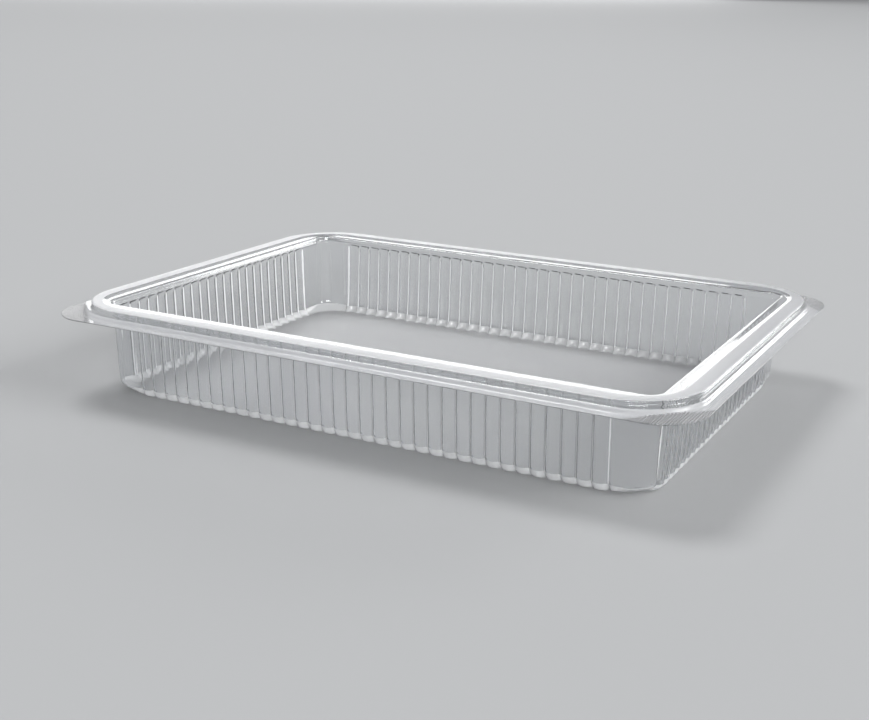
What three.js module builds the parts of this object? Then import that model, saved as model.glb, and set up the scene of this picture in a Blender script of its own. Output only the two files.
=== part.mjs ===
import * as THREE from 'three'

// Outside sizes, millimetres
const rimLength = 224
const rimWidth = 160
const trayHeight = 33
const wallThickness = 0.5

// Flange around the rim: a thin level strip with tighter corners than the rim above it
const flangeReach = 4.6
const flangeHeight = 29.3
const flangeThickness = 0.4
const flangeCornerRadius = 15

// Rim: bead, shallow groove and flat top outside, low step and ledge inside
const rimCornerRadius = 24
const beadReach = 1
const beadHeight = 31
const grooveDepth = 0.3
const flatTopWidth = 4.9
const stepCornerRadius = 14
const stepDrop = 0.5
const ledgeInset = 9.8
const ledgeDrop = 0.65
const openingCornerRadius = 4.5

// Inside face of the plain band below the ledge, where the flutes have not begun
const plainBand = { height: 29.8, inset: 10.9, radius: 4.5 }

// Flutes: arcs that bulge out of the wall and meet in sharp upright ridges inside it
const flutePitch = 5
const longSideFlutes = 35
const shortSideFlutes = 23
const shortSideFluteShift = -5
const pointsPerFlute = 4

// Inside face of the fluted wall, below the plain band: crests stand out, ridges stand in
const fluteTop = { height: 28, inset: 10.95, radius: 5, crestOut: 1.6, ridgeIn: 0.15 }

// Foot: the flutes end at a crease and run on to the floor as deeper scallops
const crease = { height: 3, inset: 11.2, radius: 7, crestOut: 0.6, ridgeIn: 1 }
const floorEdge = { height: wallThickness, inset: 11.7, radius: 15, crestOut: 0.5, ridgeIn: 2.1 }

const pointsPerCorner = 7
const plainLongSteps = 8
const plainShortSteps = 6

// Evenly spaced stations from one end of a side to the other
function stations(start, end, steps) {
  const list = []
  for (let i = 0; i <= steps; i += 1) {
    list.push(start + (end - start) * i / steps)
  }
  return list
}

const longHalf = longSideFlutes * flutePitch / 2
const shortHalf = shortSideFlutes * flutePitch / 2
const fluteSteps = {
  long: stations(-longHalf, longHalf, longSideFlutes * pointsPerFlute),
  short: stations(-shortHalf + shortSideFluteShift, shortHalf + shortSideFluteShift,
    shortSideFlutes * pointsPerFlute),
}
const ridgeSteps = {
  long: stations(-longHalf, longHalf, longSideFlutes),
  short: stations(-shortHalf + shortSideFluteShift, shortHalf + shortSideFluteShift,
    shortSideFlutes),
}
const plainSteps = {
  long: stations(-longHalf, longHalf, plainLongSteps),
  short: stations(-shortHalf + shortSideFluteShift, shortHalf + shortSideFluteShift,
    plainShortSteps),
}

// Distance of a rounded rectangle's edge from its middle line, at a station along the side
function edgeAt(station, along, across, radius) {
  const past = Math.abs(station) - (along - radius)
  if (past <= 0) {
    return across
  }
  return across - radius + Math.sqrt(Math.max(radius * radius - past * past, 0))
}

// How far a point of a flute stands inside the flute's crest
function fluteRise(index, depth) {
  const half = flutePitch / 2
  const radius = (half * half + depth * depth) / (2 * depth)
  const offset = (index % pointsPerFlute) / pointsPerFlute * flutePitch - half
  return radius - Math.sqrt(Math.max(radius * radius - offset * offset, 0))
}

// One closed loop of points round the tray, each with its place 0 to 8 round the loop
function ring(inset, height, radius, crestOut, ridgeIn, steps) {
  const halfX = rimLength / 2 - inset
  const halfY = rimWidth / 2 - inset
  const points = []
  const sides = [
    { list: steps.long, sign: 1, along: halfX, across: halfY, turn: false },
    { list: steps.short, sign: -1, along: halfY, across: halfX, turn: true },
    { list: steps.long, sign: -1, along: halfX, across: halfY, turn: false },
    { list: steps.short, sign: 1, along: halfY, across: halfX, turn: true },
  ]
  const ends = []
  sides.forEach((side, s) => {
    const backwards = s === 0 || s === 1
    const last = side.list.length - 1
    side.list.forEach((unused, i) => {
      const index = backwards ? last - i : i
      const station = side.list[index]
      const depth = crestOut + ridgeIn
      const rise = depth > 0 ? fluteRise(index, depth) - crestOut : 0
      const edge = edgeAt(station, side.along, side.across, radius) - rise
      const x = side.turn ? side.sign * edge : station
      const y = side.turn ? station : side.sign * edge
      points.push({ x, y, z: height, place: 2 * s + i / last })
    })
    ends.push(points[points.length - 1])
  })
  const centreX = halfX - radius
  const centreY = halfY - radius
  const signs = [[-1, 1], [-1, -1], [1, -1], [1, 1]]
  const corners = []
  signs.forEach(([signX, signY], s) => {
    const from = ends[s]
    const to = points.find((point) => point.place === (2 * s + 2) % 8)
    const angleOf = (point) => {
      const dx = Math.max(signX * point.x - centreX, 0)
      const dy = Math.max(signY * point.y - centreY, 0)
      return Math.atan2(dy, dx)
    }
    const start = angleOf(from)
    const end = angleOf(to)
    for (let i = 1; i <= pointsPerCorner; i += 1) {
      const angle = start + (end - start) * (i - 0.5) / pointsPerCorner
      corners.push({
        x: signX * (centreX + radius * Math.cos(angle)),
        y: signY * (centreY + radius * Math.sin(angle)),
        z: height,
        place: 2 * s + 1 + i / (pointsPerCorner + 1),
      })
    }
  })
  return points.concat(corners).sort((a, b) => a.place - b.place)
}

const positions = []
const faces = []

function addRing(loop) {
  const first = positions.length / 3
  loop.forEach((point) => positions.push(point.x, point.y, point.z))
  return { first, loop }
}

function addFace(a, b, c, flip) {
  faces.push(...(flip ? [a, c, b] : [a, b, c]))
}

// Joins two loops into a band, stepping along whichever loop is behind
function band(ringA, ringB, flip) {
  const countA = ringA.loop.length
  const countB = ringB.loop.length
  let a = 0
  let b = 0
  while (a < countA || b < countB) {
    const nextA = a + 1 < countA ? ringA.loop[a + 1].place : 8
    const nextB = b + 1 < countB ? ringB.loop[b + 1].place : 8
    const hereA = ringA.first + a % countA
    const hereB = ringB.first + b % countB
    const stepA = b >= countB || (a < countA && nextA <= nextB)
    if (stepA) {
      addFace(hereA, ringA.first + (a + 1) % countA, hereB, flip)
      a += 1
    } else {
      addFace(hereA, ringB.first + (b + 1) % countB, hereB, flip)
      b += 1
    }
  }
}

function cap(ringA, flip) {
  const outline = ringA.loop.map((point) => new THREE.Vector2(point.x, point.y))
  THREE.ShapeUtils.triangulateShape(outline, []).forEach(([a, b, c]) => {
    addFace(ringA.first + a, ringA.first + b, ringA.first + c, flip)
  })
}

const top = trayHeight
const ledgeHeight = top - ledgeDrop
const rimRadius = rimCornerRadius
const stepRadius = stepCornerRadius
const openRadius = openingCornerRadius

// Upper skin, from the flange's edge over the rim and down to the floor
const upperRim = [
  [-flangeReach, flangeHeight, flangeCornerRadius],
  [-beadReach, flangeHeight, rimRadius - 1],
  [-beadReach + 0.2, beadHeight, rimRadius - 1],
  [grooveDepth, beadHeight + 0.4, rimRadius - 0.5],
  [0, top - 0.6, rimRadius],
  [0.6, top, rimRadius - 0.5],
  [flatTopWidth, top, stepRadius + 1],
  [flatTopWidth + 1.1, top - stepDrop, stepRadius],
  [ledgeInset, ledgeHeight, openRadius + 1],
  [plainBand.inset - 0.4, ledgeHeight - 0.5, openRadius],
]

// Lower skin, the same run on the underside, leaving the rim hollow beneath
const under = wallThickness
const lowerRim = [
  [-flangeReach, flangeHeight - flangeThickness, flangeCornerRadius],
  [-beadReach + under, flangeHeight - flangeThickness, rimRadius - 1.4],
  [-beadReach + 0.2 + under, beadHeight - 0.4, rimRadius - 1.4],
  [grooveDepth + under, beadHeight, rimRadius - 0.9],
  [under, top - 0.9, rimRadius - 0.4],
  [0.6 + under / 2, top - under, rimRadius - 0.8],
  [flatTopWidth - 0.2, top - under, stepRadius + 1.2],
  [flatTopWidth + 0.9, top - stepDrop - under, stepRadius + 0.2],
  [ledgeInset - 0.3, ledgeHeight - under, openRadius + 1.5],
  [plainBand.inset - 0.9, ledgeHeight - 0.8, openRadius + 0.5],
]

// Plain band and fluted wall of one skin, the lower skin standing outside the upper one
function wallRings(outward, floorHeight) {
  const { inset, radius } = plainBand
  const bandHeight = plainBand.height - outward / 2
  const creaseHeight = crease.height - outward / 2
  const rings = [ring(inset - outward, bandHeight, radius, 0, 0, ridgeSteps)]
  const levels = [[fluteTop, fluteTop.height], [crease, creaseHeight], [floorEdge, floorHeight]]
  levels.forEach(([level, height]) => {
    rings.push(ring(level.inset - outward, height, level.radius, level.crestOut, level.ridgeIn,
      fluteSteps))
  })
  return rings
}

function skin(rim, outward, floorHeight, flip) {
  const rings = rim.map(([inset, height, radius]) => ring(inset, height, radius, 0, 0, plainSteps))
  const all = rings.concat(wallRings(outward, floorHeight)).map(addRing)
  for (let i = 0; i + 1 < all.length; i += 1) {
    band(all[i], all[i + 1], flip)
  }
  cap(all[all.length - 1], flip)
  return all[0]
}

const upperEdge = skin(upperRim, 0, wallThickness, false)
const lowerEdge = skin(lowerRim, wallThickness, 0, true)
band(lowerEdge, upperEdge, false)

const geometry = new THREE.BufferGeometry()
geometry.setAttribute('position', new THREE.Float32BufferAttribute(positions, 3))
geometry.setIndex(faces)

// Signed volume tells which way the faces point
function signedVolume() {
  const a = new THREE.Vector3()
  const b = new THREE.Vector3()
  const c = new THREE.Vector3()
  const attribute = geometry.getAttribute('position')
  let total = 0
  for (let i = 0; i < faces.length; i += 3) {
    a.fromBufferAttribute(attribute, faces[i])
    b.fromBufferAttribute(attribute, faces[i + 1])
    c.fromBufferAttribute(attribute, faces[i + 2])
    total += a.dot(b.cross(c)) / 6
  }
  return total
}

if (signedVolume() < 0) {
  for (let i = 0; i < faces.length; i += 3) {
    [faces[i + 1], faces[i + 2]] = [faces[i + 2], faces[i + 1]]
  }
  geometry.setIndex(faces)
}
geometry.computeVertexNormals()

const clearPlastic = new THREE.MeshStandardMaterial({
  color: 0xdfe4e6,
  roughness: 0.12,
  metalness: 0,
  transparent: true,
  opacity: 0.35,
})
const tray = new THREE.Mesh(geometry, clearPlastic)
tray.name = 'tray'

const group = new THREE.Group()
group.name = 'takeaway_tray'
group.add(tray)

export default group
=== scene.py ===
import math

import bmesh
import bpy
from mathutils import Matrix, Vector


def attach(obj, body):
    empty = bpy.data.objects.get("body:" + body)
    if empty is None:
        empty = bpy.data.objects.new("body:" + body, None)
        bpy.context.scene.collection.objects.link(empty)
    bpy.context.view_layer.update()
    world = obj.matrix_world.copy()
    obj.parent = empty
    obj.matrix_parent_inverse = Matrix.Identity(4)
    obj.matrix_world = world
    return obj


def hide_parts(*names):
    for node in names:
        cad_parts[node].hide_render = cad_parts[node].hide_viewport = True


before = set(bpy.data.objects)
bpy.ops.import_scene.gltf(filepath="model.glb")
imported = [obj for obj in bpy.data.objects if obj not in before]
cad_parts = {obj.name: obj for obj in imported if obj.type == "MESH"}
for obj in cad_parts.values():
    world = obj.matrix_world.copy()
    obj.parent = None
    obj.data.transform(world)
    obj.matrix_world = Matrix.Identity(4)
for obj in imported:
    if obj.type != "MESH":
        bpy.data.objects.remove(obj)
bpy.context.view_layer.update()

mm = 0.001


def leaveEditMode():
    if bpy.context.object is not None and bpy.context.object.mode != "OBJECT":
        bpy.ops.object.mode_set(mode="OBJECT")


def deselectAll():
    leaveEditMode()
    bpy.ops.object.select_all(action="DESELECT")


def makeActive(piece):
    deselectAll()
    piece.select_set(True)
    bpy.context.view_layer.objects.active = piece


def addModifier(piece, kind, **settings):
    makeActive(piece)
    bpy.ops.object.modifier_add(type=kind)
    modifier = piece.modifiers[-1]
    for name, value in settings.items():
        setattr(modifier, name, value)
    bpy.ops.object.modifier_apply(modifier=modifier.name)


# sizes of the formed sheet, in millimetres
tray = {
    "rimLength": 224.0,
    "rimWidth": 160.0,
    "sheet": 0.33,
    "thickest": 0.75,         # the most that the sheet is thick behind a ridge
    "flutePitch": 5.0,
    "longFlutes": 35,
    "shortFlutes": 23,
    "shortShift": -5.0,       # the short walls' flutes stop further from the far corners
    "ridgeCrowding": 1.6,     # above 1, a flute's columns stand closer to its ridges
    "ridgeFade": 1.6,         # the last ridge runs out into the plain corner over this length
    "rimCuts": 2,             # columns of the rim for each flute
    "cornerSteps": 16,        # columns in a corner of the rim
    "fineCuts": 4,            # extra columns between two of the rim's, for the flutes
    "cornerExtra": 14.0,      # how much denser the columns stand in the bend of a corner
    # rows with another finish than the clear wall, counted from the flange's edge; the rim and
    # foot finishes carry painted highlights
    "finishRows": [(0, 9, "rim"), (17, 23, "rim"), (50, 56.8, "foot"), (56.8, 60, "floor")],
    "ridgeRows": (41, 50),    # between these rows the ridges get a painted white highlight
}

# rows of the rim from the flange's edge inwards: inset from the rim's edge, height, corner radius
rimRows = [
    (-4.60, 29.30, 15.0), (-4.35, 29.30, 15.2), (-3.00, 29.30, 17.0), (-1.75, 29.30, 20.0),
    (-1.45, 29.36, 21.0), (-1.22, 29.52, 21.6), (-1.05, 29.80, 22.0), (-0.98, 30.20, 22.4),
    (-0.88, 30.55, 22.6), (-0.62, 30.80, 22.8), (-0.25, 30.92, 23.1), (0.10, 31.02, 23.3),
    (0.28, 31.22, 23.4), (0.30, 31.45, 23.5), (0.18, 31.75, 23.7), (0.03, 32.10, 24.0),
    (0.02, 32.45, 24.0), (0.14, 32.74, 23.9), (0.38, 32.93, 23.7), (0.75, 33.00, 23.4),
    (1.30, 33.00, 22.8), (3.20, 33.00, 19.8), (4.90, 33.00, 16.0), (5.25, 32.97, 15.6),
    (5.60, 32.86, 15.2), (5.95, 32.68, 14.8), (6.30, 32.54, 14.4), (6.80, 32.46, 13.6),
    (7.40, 32.43, 12.4), (8.70, 32.40, 8.6), (9.70, 32.37, 6.2), (10.05, 32.30, 5.6),
    (10.30, 32.12, 5.2), (10.44, 31.85, 4.9), (10.56, 31.30, 4.7), (10.68, 30.75, 4.6),
    (10.78, 30.52, 4.5), (10.92, 30.38, 4.5), (10.98, 30.20, 4.5),
]

# rows of the wall down to the floor: inset, height, corner radius, crest out, ridge in
wallRows = [
    (11.00, 30.00, 4.5, 0.00, 0.00), (11.00, 29.70, 4.5, 0.42, 0.02),
    (11.00, 29.30, 4.6, 0.86, 0.04), (11.01, 28.80, 4.6, 1.22, 0.06),
    (11.02, 28.20, 4.7, 1.46, 0.08), (11.03, 27.40, 4.8, 1.58, 0.10),
    (11.04, 26.40, 4.9, 1.60, 0.12), (11.08, 19.00, 5.2, 1.38, 0.36),
    (11.14, 10.00, 5.7, 1.04, 0.66), (11.19, 4.20, 6.2, 0.78, 0.88),
    (11.22, 3.20, 6.6, 0.70, 0.96), (11.28, 2.70, 7.4, 0.66, 1.10),
    (11.40, 2.20, 8.8, 0.68, 1.34), (11.56, 1.60, 10.8, 0.70, 1.62),
    (11.74, 1.05, 12.8, 0.66, 1.90), (11.92, 0.66, 14.0, 0.56, 2.06),
    (12.16, 0.42, 14.8, 0.48, 2.14), (12.46, 0.33, 15.0, 0.44, 2.16),
    (12.90, 0.33, 14.8, 0.42, 2.10),
]


# places round the tray run from 0 to 8: walls and corners in turn, starting with the far wall
longHalf = tray["longFlutes"] * tray["flutePitch"] / 2
shortHalf = tray["shortFlutes"] * tray["flutePitch"] / 2
shortTop = shortHalf + tray["shortShift"]
shortBottom = shortHalf - tray["shortShift"]

# room for rounding
tiny = 1e-6                 # in places and heights
notedRoom = 1e-4            # in the places noted on the points, which are kept less exactly
ridgeRoom = 0.02            # in flutes
onLine = 1e-8               # in metres, for a point on a line
onPoint = 1e-7              # in metres, for two points in one place


def sidePoint(station, along, across, radius, rise):
    # a point of a side that may run into the rounded corner, stood in from the outline by rise
    past = abs(station) - (along - radius)
    if past <= 0:
        return station, across - rise
    lean = min(past / radius, 1) * math.copysign(1, station)
    level = math.sqrt(1 - lean * lean)
    return station - lean * rise, across - radius + level * radius - level * rise


def fluteRise(part, crestOut, ridgeIn):
    # how far a flute's arc stands in from the wall, with part from -1 to 1 between its ridges
    depth = crestOut + ridgeIn
    if depth <= 0:
        return 0.0
    half = tray["flutePitch"] / 2
    radius = (half * half + depth * depth) / (2 * depth)
    return radius - math.sqrt(max(radius * radius - (part * half) ** 2, 0)) - crestOut


def wallPoint(side, share, halfX, halfY, radius, crestOut, ridgeIn):
    isLong = side % 2 == 0
    count = tray["longFlutes"] if isLong else tray["shortFlutes"]
    whole = min(int(share * count + tiny), count - 1)
    across = 2 * (share * count - whole) - 1
    part = math.copysign(1 - max(1 - abs(across), 0) ** tray["ridgeCrowding"], across)
    travel = (whole + (part + 1) / 2) * tray["flutePitch"]
    rise = fluteRise(part, crestOut, ridgeIn)
    if isLong:
        sign = 1 if side == 0 else -1
        x, y = sidePoint(sign * (longHalf - travel), halfX, halfY, radius, rise)
        return x, sign * y
    sign = -1 if side == 1 else 1
    station = shortTop - travel if side == 1 else travel - shortBottom
    y, x = sidePoint(station, halfY, halfX, radius, rise)
    return sign * x, y


def cornerPoint(corner, share, halfX, halfY, radius, ridgeIn):
    signX, signY = [(-1, 1), (-1, -1), (1, -1), (1, 1)][corner]
    shortEnd = shortTop if signY > 0 else shortBottom
    gapX = halfX - radius - longHalf      # straight run left on the long side
    gapY = halfY - radius - shortEnd
    startAngle = math.asin(min(max(-gapX, 0) / radius, 1))
    endAngle = math.pi / 2 - math.asin(min(max(-gapY, 0) / radius, 1))
    runX, runY = max(gapX, 0), max(gapY, 0)
    turn = endAngle - startAngle
    bend = turn * radius + tray["cornerExtra"]
    # odd corners are met along the short side first
    fromLong = share if corner in (0, 2) else 1 - share
    cost = fromLong * (runX + bend + runY)
    if cost < runX:
        x, y, nx, ny = longHalf + cost, halfY, 0.0, 1.0
        walked = cost
    elif cost <= runX + bend:
        angle = startAngle + turn * (cost - runX) / bend
        nx, ny = math.sin(angle), math.cos(angle)
        x, y = halfX - radius + radius * nx, halfY - radius + radius * ny
        walked = runX + (angle - startAngle) * radius
    else:
        left = runX + bend + runY - cost
        x, y, nx, ny = halfX, shortEnd + left, 1.0, 0.0
        walked = runX + turn * radius + runY - left
    total = runX + turn * radius + runY
    near = min(walked, total - walked) / tray["ridgeFade"]
    ease = ridgeIn * 0.5 * (1 + math.cos(math.pi * min(near, 1)))
    return signX * (x - nx * ease), signY * (y - ny * ease)


def ringPoint(place, row):
    inset, height, radius, crestOut, ridgeIn = (tuple(row) + (0.0, 0.0))[:5]
    halfX, halfY = tray["rimLength"] / 2 - inset, tray["rimWidth"] / 2 - inset
    section = int(place + tiny) % 8
    share = max(place - int(place + tiny), 0)
    if section % 2 == 0:
        x, y = wallPoint(section // 2, share, halfX, halfY, radius, crestOut, ridgeIn)
    else:
        x, y = cornerPoint(section // 2, share, halfX, halfY, radius, ridgeIn)
    return Vector((x, y, height)) * mm


def rimPlaces():
    places = []
    for section in range(8):
        if section % 2 == 0:
            flutes = tray["longFlutes"] if section % 4 == 0 else tray["shortFlutes"]
            count = tray["rimCuts"] * flutes
        else:
            count = tray["cornerSteps"]
        places += [section + i / count for i in range(count)]
    return places


def placeRow(mesh, row, number):
    # puts the selected points on a row, and notes the row's number on them
    bm = bmesh.from_edit_mesh(mesh)
    placeLayer = bm.verts.layers.float["place"]
    rowLayer = bm.verts.layers.float["row"]
    for vertex in bm.verts:
        if vertex.select:
            vertex.co = ringPoint(vertex[placeLayer], row)
            vertex[rowLayer] = number
    bmesh.update_edit_mesh(mesh)


def mendSeam(mesh, row, lastPlace):
    # the outline's last place meets its first, so the new columns between them are named again
    bm = bmesh.from_edit_mesh(mesh)
    placeLayer = bm.verts.layers.float["place"]
    first, last = ringPoint(0, row), ringPoint(lastPlace, row)
    length = (first - last).length
    for vertex in bm.verts:
        if vertex.select:
            toFirst, toLast = (vertex.co - first).length, (vertex.co - last).length
            isBetween = toFirst + toLast < length + onLine
            if isBetween and min(toFirst, toLast) > onPoint:
                vertex[placeLayer] = 8 - (8 - lastPlace) * toFirst / length
    bmesh.update_edit_mesh(mesh)


def buildSheet():
    # the sheet is one outline, extruded row by row from the flange's edge down to the floor
    places = rimPlaces()
    deselectAll()
    bpy.ops.mesh.primitive_circle_add(vertices=len(places), radius=0.1, location=(0, 0, 0))
    sheet = bpy.context.object
    sheet.name = "traySheet"
    mesh = sheet.data
    mesh.attributes.new("place", "FLOAT", "POINT")
    mesh.attributes.new("row", "FLOAT", "POINT")
    for value, place in zip(mesh.attributes["place"].data, places):
        value.value = place
    bpy.ops.object.mode_set(mode="EDIT")
    bpy.ops.mesh.select_mode(type="EDGE")
    bpy.ops.mesh.select_all(action="SELECT")
    placeRow(mesh, rimRows[0], 0)
    for number, row in enumerate(rimRows[1:], 1):
        bpy.ops.mesh.extrude_edges_move()
        placeRow(mesh, row, number)
    bpy.ops.mesh.subdivide(number_cuts=tray["fineCuts"])
    mendSeam(mesh, rimRows[-1], places[-1])
    for number, row in enumerate(wallRows, len(rimRows)):
        bpy.ops.mesh.extrude_edges_move()
        placeRow(mesh, row, number)
    bpy.ops.mesh.edge_face_add()
    bpy.ops.mesh.select_all(action="SELECT")
    bpy.ops.mesh.normals_make_consistent(inside=False)
    bpy.ops.object.mode_set(mode="OBJECT")
    # the open sheet's faces have to point up before it gets its thickness below
    floorFace = max(mesh.polygons, key=lambda face: len(face.vertices))
    if floorFace.normal.z < 0:
        bpy.ops.object.mode_set(mode="EDIT")
        bpy.ops.mesh.flip_normals()
        bpy.ops.object.mode_set(mode="OBJECT")
    return sheet


def thicken(sheet):
    addModifier(sheet, "SOLIDIFY", thickness=tray["sheet"] * mm, offset=-1.0,
                use_even_offset=True, use_quality_normals=True, thickness_clamp=1.0)
    points = sheet.data.vertices
    half = len(points) // 2       # the underside's points follow the upper side's, in order
    floorTop = wallRows[-1][1] * mm
    thickest = tray["thickest"] * mm
    for upper, lower in zip(points[:half], points[half:]):
        step = lower.co - upper.co
        if step.length > thickest:
            isStray = step.length > 2 * thickest
            straight = -upper.normal if isStray else step.normalized()
            lower.co = upper.co + straight * thickest
        if upper.co.z < floorTop + tiny:
            lower.co = (upper.co.x, upper.co.y, 0)
        lower.co.z = max(lower.co.z, 0)
    makeActive(sheet)
    bpy.ops.object.shade_smooth()


traySheet = buildSheet()
print("tray sheet:", len(traySheet.data.vertices), "points")
thicken(traySheet)
print("tray thickened:", len(traySheet.data.polygons), "faces")


class Sock:
    # a socket that can be used in sums; each sum adds its node
    def __init__(self, tree, output):
        self.tree = tree
        self.output = output

    def maths(self, operation, other, swapped=False):
        pair = (other, self) if swapped else (self, other)
        node = self.tree.nodes.new("ShaderNodeMath")
        node.operation = operation
        for socket, value in zip(node.inputs, pair):
            plug(self.tree, socket, value)
        return Sock(self.tree, node.outputs[0])

    def __add__(self, other):
        return self.maths("ADD", other)

    def __radd__(self, other):
        return self.maths("ADD", other, True)

    def __sub__(self, other):
        return self.maths("SUBTRACT", other)

    def __rsub__(self, other):
        return self.maths("SUBTRACT", other, True)

    def __mul__(self, other):
        return self.maths("MULTIPLY", other)

    def __rmul__(self, other):
        return self.maths("MULTIPLY", other, True)


def plug(tree, socket, value):
    if isinstance(value, Sock):
        tree.links.new(value.output, socket)
    else:
        socket.default_value = value


class Finish:
    # a material with one shader; values that vary over the surface are plugged into it
    def __init__(self, name, **constants):
        self.material = bpy.data.materials.new(name)
        self.material.use_nodes = True
        self.tree = self.material.node_tree
        self.shader = self.tree.nodes["Principled BSDF"]
        for socket, value in constants.items():
            self.set(socket.replace("_", " "), value)

    def set(self, socket, value):
        plug(self.tree, self.shader.inputs[socket], value)

    def node(self, kind, settings, output=0, **values):
        node = self.tree.nodes.new(kind)
        for name, value in settings.items():
            setattr(node, name, value)
        for socket, value in values.items():
            plug(self.tree, node.inputs[socket.replace("_", " ")], value)
        return Sock(self.tree, node.outputs[output])

    def point(self):
        # the place on the tray, in metres
        return self.node("ShaderNodeTexCoord", {}, output="Object")

    def axis(self, point, name):
        return self.node("ShaderNodeSeparateXYZ", {}, output=name, Vector=point)

    def maths(self, operation, value):
        return self.node("ShaderNodeMath", {"operation": operation}, Value=value)

    def smooth(self, value, low, high):
        # 0 below low and 1 above high, or the other way round where low is the larger
        return self.node("ShaderNodeMapRange", {"interpolation_type": "SMOOTHSTEP"}, Value=value,
                         From_Min=low, From_Max=high, To_Min=0.0, To_Max=1.0)

    def noise(self, point, scale, detail=2.0, stretch=(1, 1, 1)):
        spread = self.node("ShaderNodeMapping", {}, Vector=point, Scale=stretch)
        return self.node("ShaderNodeTexNoise", {}, Vector=spread, Scale=scale, Detail=detail)

    def bump(self, height, distance):
        return self.node("ShaderNodeBump", {}, Height=height, Strength=1.0, Distance=distance)

    def blend(self, factor, first, second):
        # the Mix node has sockets of one name for each kind of data, so they go by number
        node = self.tree.nodes.new("ShaderNodeMix")
        node.data_type = "RGBA"
        for index, value in ((0, factor), (6, first), (7, second)):
            plug(self.tree, node.inputs[index], value)
        return Sock(self.tree, node.outputs[2])


plasticIor = 1.57

clearLook = {
    "through": 0.965,                       # share of the light that goes through
    "cool": (0.860, 0.868, 0.892, 1.0),     # the sheet's faint tints
    "warm": (0.872, 0.885, 0.880, 1.0),
    "tintScale": 18.0,
    "gloss": 0.03,
    "stretchMarks": 0.05,                   # roughness of the faint upright marks from forming
    "markScale": 260.0,
    "markStretch": (1, 1, 0.12),
    "waves": 0.00004,                       # how deep the sheet waves, in metres
    "waveScale": 45.0,
}


def makeClearPlastic():
    finish = Finish("clearPlastic", IOR=plasticIor, Transmission_Weight=clearLook["through"])
    point = finish.point()
    tints = finish.noise(point, clearLook["tintScale"])
    marks = finish.noise(point, clearLook["markScale"], stretch=clearLook["markStretch"])
    swell = finish.noise(point, clearLook["waveScale"], detail=1.0)
    finish.set("Roughness", clearLook["gloss"] + clearLook["stretchMarks"] * marks * marks)
    finish.set("Base Color", finish.blend(tints, clearLook["cool"], clearLook["warm"]))
    finish.set("Normal", finish.bump(swell, clearLook["waves"]))
    return finish.material


rimLook = {
    "through": 0.70,                        # share of the light that goes through the rim; the rest is white, a painted highlight
    "hazeAndHighlightWhite": (0.955, 0.960, 0.965, 1.0),
    "patchScale": 30.0,
    "gloss": 0.10,
    "patchRough": 0.06,
    "satin": 0.30,                          # roughness of the flat top
    "flatTop": (0.03270, 0.03296),          # the satin comes in between these heights
    "knurlPitch": 0.0017,
    "knurlDepth": 0.0004,
    # painted shade, laid on the knurl's raised points
    "knurlPaintedShade": (0.70, 0.71, 0.74, 1.0),
    "knurlPaintedShadeHeights": (0.25, 0.8),             # the painted shade comes in between these relief heights
    "tabReach": (0.1795, 0.1815),           # the knurl begins where x and y add up to this
    "tabTop": (0.0299, 0.0295),             # and ends above the flange
}


def makeRimPlastic():
    finish = Finish("rimPlastic", IOR=plasticIor, Transmission_Weight=rimLook["through"])
    point = finish.point()
    x, y, z = [finish.axis(point, name) for name in "XYZ"]
    patches = finish.noise(point, rimLook["patchScale"])
    flat = finish.smooth(z, *rimLook["flatTop"])
    finish.set("Roughness", rimLook["gloss"] + flat * (rimLook["satin"] - rimLook["gloss"])
               + rimLook["patchRough"] * patches)
    # small pyramids pressed into the four corner tabs of the flange
    turns = 2 * math.pi / rimLook["knurlPitch"]
    across = finish.maths("SINE", (x + y) * turns)
    along = finish.maths("SINE", (x - y) * turns)
    reach = finish.maths("ABSOLUTE", x) + finish.maths("ABSOLUTE", y)
    tab = finish.smooth(reach, *rimLook["tabReach"]) * finish.smooth(z, *rimLook["tabTop"])
    knurl = across * along * tab
    # painted highlight: the rim is white, with random clear patches
    plain = finish.blend(patches, rimLook["hazeAndHighlightWhite"], clearLook["cool"])
    # painted shade: the knurl's raised points are darkened so that its pattern shows
    paintedShade = finish.smooth(knurl, *rimLook["knurlPaintedShadeHeights"])
    finish.set("Base Color", finish.blend(paintedShade, plain, rimLook["knurlPaintedShade"]))
    finish.set("Normal", finish.bump(knurl, rimLook["knurlDepth"]))
    return finish.material


# painted highlight: the foot's scallops are whitened and made less clear, standing for their
# bright highlights
footLook = {
    "through": 0.55,
    "hazeAndHighlightWhite": (0.970, 0.975, 0.980, 1.0),
    "cloud": (0.930, 0.940, 0.950, 1.0),
    "cloudScale": 60.0,
    "cloudStretch": (1, 1, 1),
    "rough": 0.08,
    "roughSpread": 0.06,
    "alpha": 1.0,
}

# the floor's haze lies in streaks along the tray
floorLook = {
    "through": 0.84,
    "hazeAndHighlightWhite": (0.930, 0.935, 0.945, 1.0),
    "cloud": (0.840, 0.850, 0.870, 1.0),
    "cloudScale": 22.0,
    "cloudStretch": (0.35, 1.6, 1),
    "rough": 0.30,
    "roughSpread": 0.14,
    "alpha": 0.6,
}

# painted highlight: the ridges are made white, standing for the bright lines that light draws
# along them
ridgeLook = {
    "through": 0.15,
    "hazeAndHighlightWhite": (0.985, 0.988, 0.992, 1.0),
    "cloud": (0.90, 0.91, 0.93, 1.0),
    "cloudScale": 140.0,
    "cloudStretch": (1, 1, 0.25),
    "rough": 0.32,
    "roughSpread": 0.10,
    "alpha": 1.0,
}


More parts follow.
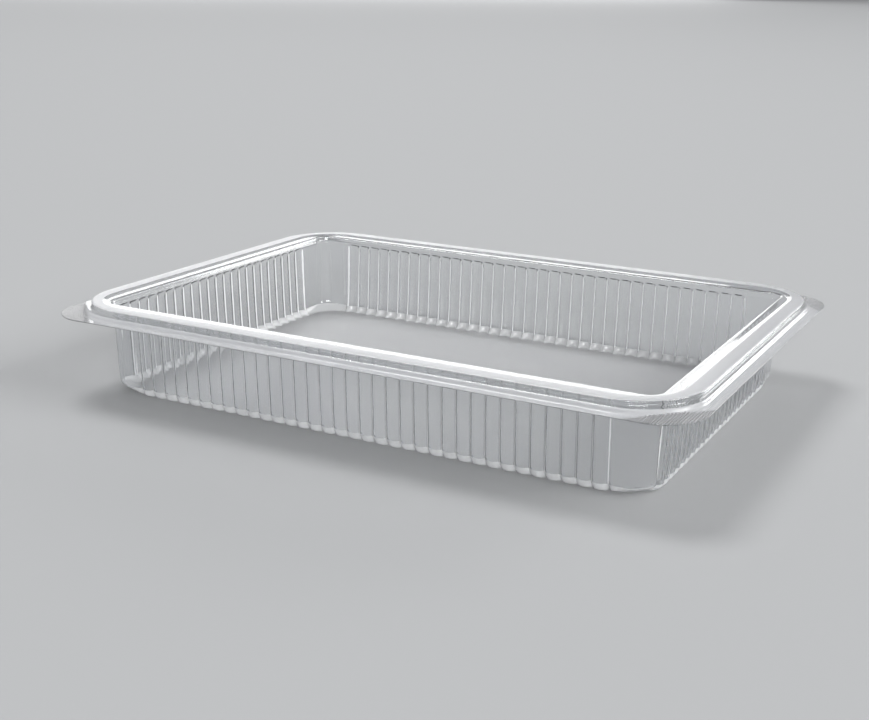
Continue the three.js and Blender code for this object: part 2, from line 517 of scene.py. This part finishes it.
def makeHazeAndHighlightPlastic(name, look):
    finish = Finish(name, IOR=plasticIor, Transmission_Weight=look["through"],
                    Alpha=look["alpha"])
    clouds = finish.noise(finish.point(), look["cloudScale"], detail=3.0,
                          stretch=look["cloudStretch"])
    # the white is real haze on the floor, and a painted highlight on the foot and ridges
    finish.set("Base Color", finish.blend(clouds, look["hazeAndHighlightWhite"], look["cloud"]))
    finish.set("Roughness", look["rough"] + look["roughSpread"] * clouds)
    return finish.material


def isOnRidge(place):
    section = int(place + notedRoom)
    share = max(place - section, 0)
    if section % 2 == 1:
        return share < notedRoom
    flutes = share * (tray["longFlutes"] if section % 4 == 0 else tray["shortFlutes"])
    return abs(flutes - round(flutes)) < ridgeRoom


def dressTray(sheet):
    finishes = {
        "wall": makeClearPlastic(),
        "rim": makeRimPlastic(),
        "foot": makeHazeAndHighlightPlastic("footPlastic", footLook),
        "floor": makeHazeAndHighlightPlastic("floorPlastic", floorLook),
        "ridge": makeHazeAndHighlightPlastic("ridgePlastic", ridgeLook),
    }
    sheet.data.materials.clear()
    for material in finishes.values():
        sheet.data.materials.append(material)
    order = list(finishes)
    rows = sheet.data.attributes["row"].data
    ridges = [isOnRidge(point.value) for point in sheet.data.attributes["place"].data]
    firstRow, lastRow = tray["ridgeRows"]
    for face in sheet.data.polygons:
        row = sum(rows[corner].value for corner in face.vertices) / len(face.vertices)
        names = [name for first, last, name in tray["finishRows"] if first < row < last]
        # faces at the ridges take the painted highlight finish
        if firstRow < row < lastRow and any(ridges[corner] for corner in face.vertices):
            names = ["ridge"]
        face.material_index = order.index(names[0] if names else "wall")
    for name in ("row", "place"):
        sheet.data.attributes.remove(sheet.data.attributes[name])
    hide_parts("tray")
    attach(sheet, "root")


dressTray(traySheet)
print("materials done")


studio = {
    "floorRadius": 12.0,
    "floorHeight": -0.0003,   # just under the tray, so that the two faces don't share a place
    "floorSteps": 96,
    "floorColour": (0.42, 0.425, 0.43, 1.0),
    "floorRough": 0.8,
    "floorSheen": 0.1,
    "worldColour": (0.80, 0.81, 0.83, 1.0),
    "worldStrength": 0.50,
}

# name, place, size, power in watts, point that it faces
softboxes = [
    ("topBox", (-2.3, 1.0, 5.4), (2.2, 2.2), 150.0, (0.0, 0.0, 0.0)),
    ("rightBox", (4.6, 0.5, 2.6), (3.0, 2.4), 150.0, (0.0, 0.0, 0.02)),
    ("frontBox", (3.1, -4.8, 2.0), (3.4, 2.0), 190.0, (0.0, 0.0, 0.02)),
    ("backRightBox", (3.0, 5.6, 1.6), (2.6, 2.6), 110.0, (0.0, 0.0, 0.02)),
    ("backLeftBox", (-3.4, 5.0, 1.05), (4.2, 2.0), 50.0, (0.0, 0.0, 0.02)),
]


def makeFloor():
    deselectAll()
    bpy.ops.mesh.primitive_circle_add(vertices=studio["floorSteps"], radius=studio["floorRadius"],
                                      fill_type="NGON", location=(0, 0, studio["floorHeight"]))
    floor = bpy.context.object
    floor.name = "studioFloor"
    paper = Finish("floorPaper", Base_Color=studio["floorColour"], Roughness=studio["floorRough"],
                   Specular_IOR_Level=studio["floorSheen"])
    floor.data.materials.append(paper.material)


def makeLights():
    for name, place, size, power, target in softboxes:
        deselectAll()
        bpy.ops.object.light_add(type="AREA", location=place)
        light = bpy.context.object
        light.name = name
        light.data.shape = "RECTANGLE"
        light.data.size, light.data.size_y = size
        light.data.energy = power
        aim = Vector(target) - Vector(place)
        light.rotation_euler = aim.to_track_quat("-Z", "Y").to_euler()
    world = bpy.data.worlds.new("studioWorld")
    bpy.context.scene.world = world
    world.use_nodes = True
    background = world.node_tree.nodes["Background"]
    background.inputs["Color"].default_value = studio["worldColour"]
    background.inputs["Strength"].default_value = studio["worldStrength"]


# the camera that the photograph was taken with, as fitted to the tray's own edges
view = {
    "azimuth": 28.25,         # degrees to the right of the near wall's middle
    "elevation": 16.86,
    "roll": 0.825,
    "across": 6.34368 * mm,   # from the middle of the picture to the tray's origin
    "up": -8.67104 * mm,
    "distance": 479.7856 * mm,
    "photoWidth": 869,        # pixels
    "focalLength": 1302.9,    # pixels
    "sensorWidth": 36.0,
    "nearest": 0.01,
}


def makeCamera():
    azimuth, elevation = math.radians(view["azimuth"]), math.radians(view["elevation"])
    roll = math.radians(view["roll"])
    forward = Vector((-math.sin(azimuth) * math.cos(elevation),
                      math.cos(azimuth) * math.cos(elevation), -math.sin(elevation)))
    flatRight = forward.cross(Vector((0, 0, 1))).normalized()
    flatUp = flatRight.cross(forward)
    right = math.cos(roll) * flatRight + math.sin(roll) * flatUp
    up = -math.sin(roll) * flatRight + math.cos(roll) * flatUp
    place = -(right * view["across"] + up * view["up"] + forward * view["distance"])
    deselectAll()
    bpy.ops.object.camera_add(location=place)
    camera = bpy.context.object
    camera.name = "photoCamera"
    camera.matrix_world = Matrix((
        (right.x, up.x, -forward.x, place.x),
        (right.y, up.y, -forward.y, place.y),
        (right.z, up.z, -forward.z, place.z),
        (0, 0, 0, 1),
    ))
    camera.data.sensor_width = view["sensorWidth"]
    camera.data.lens = view["focalLength"] / view["photoWidth"] * view["sensorWidth"]
    camera.data.clip_start = view["nearest"]
    bpy.context.scene.camera = camera


makeFloor()
makeLights()
makeCamera()
bpy.context.scene.view_settings.view_transform = "Standard"
print("studio done")
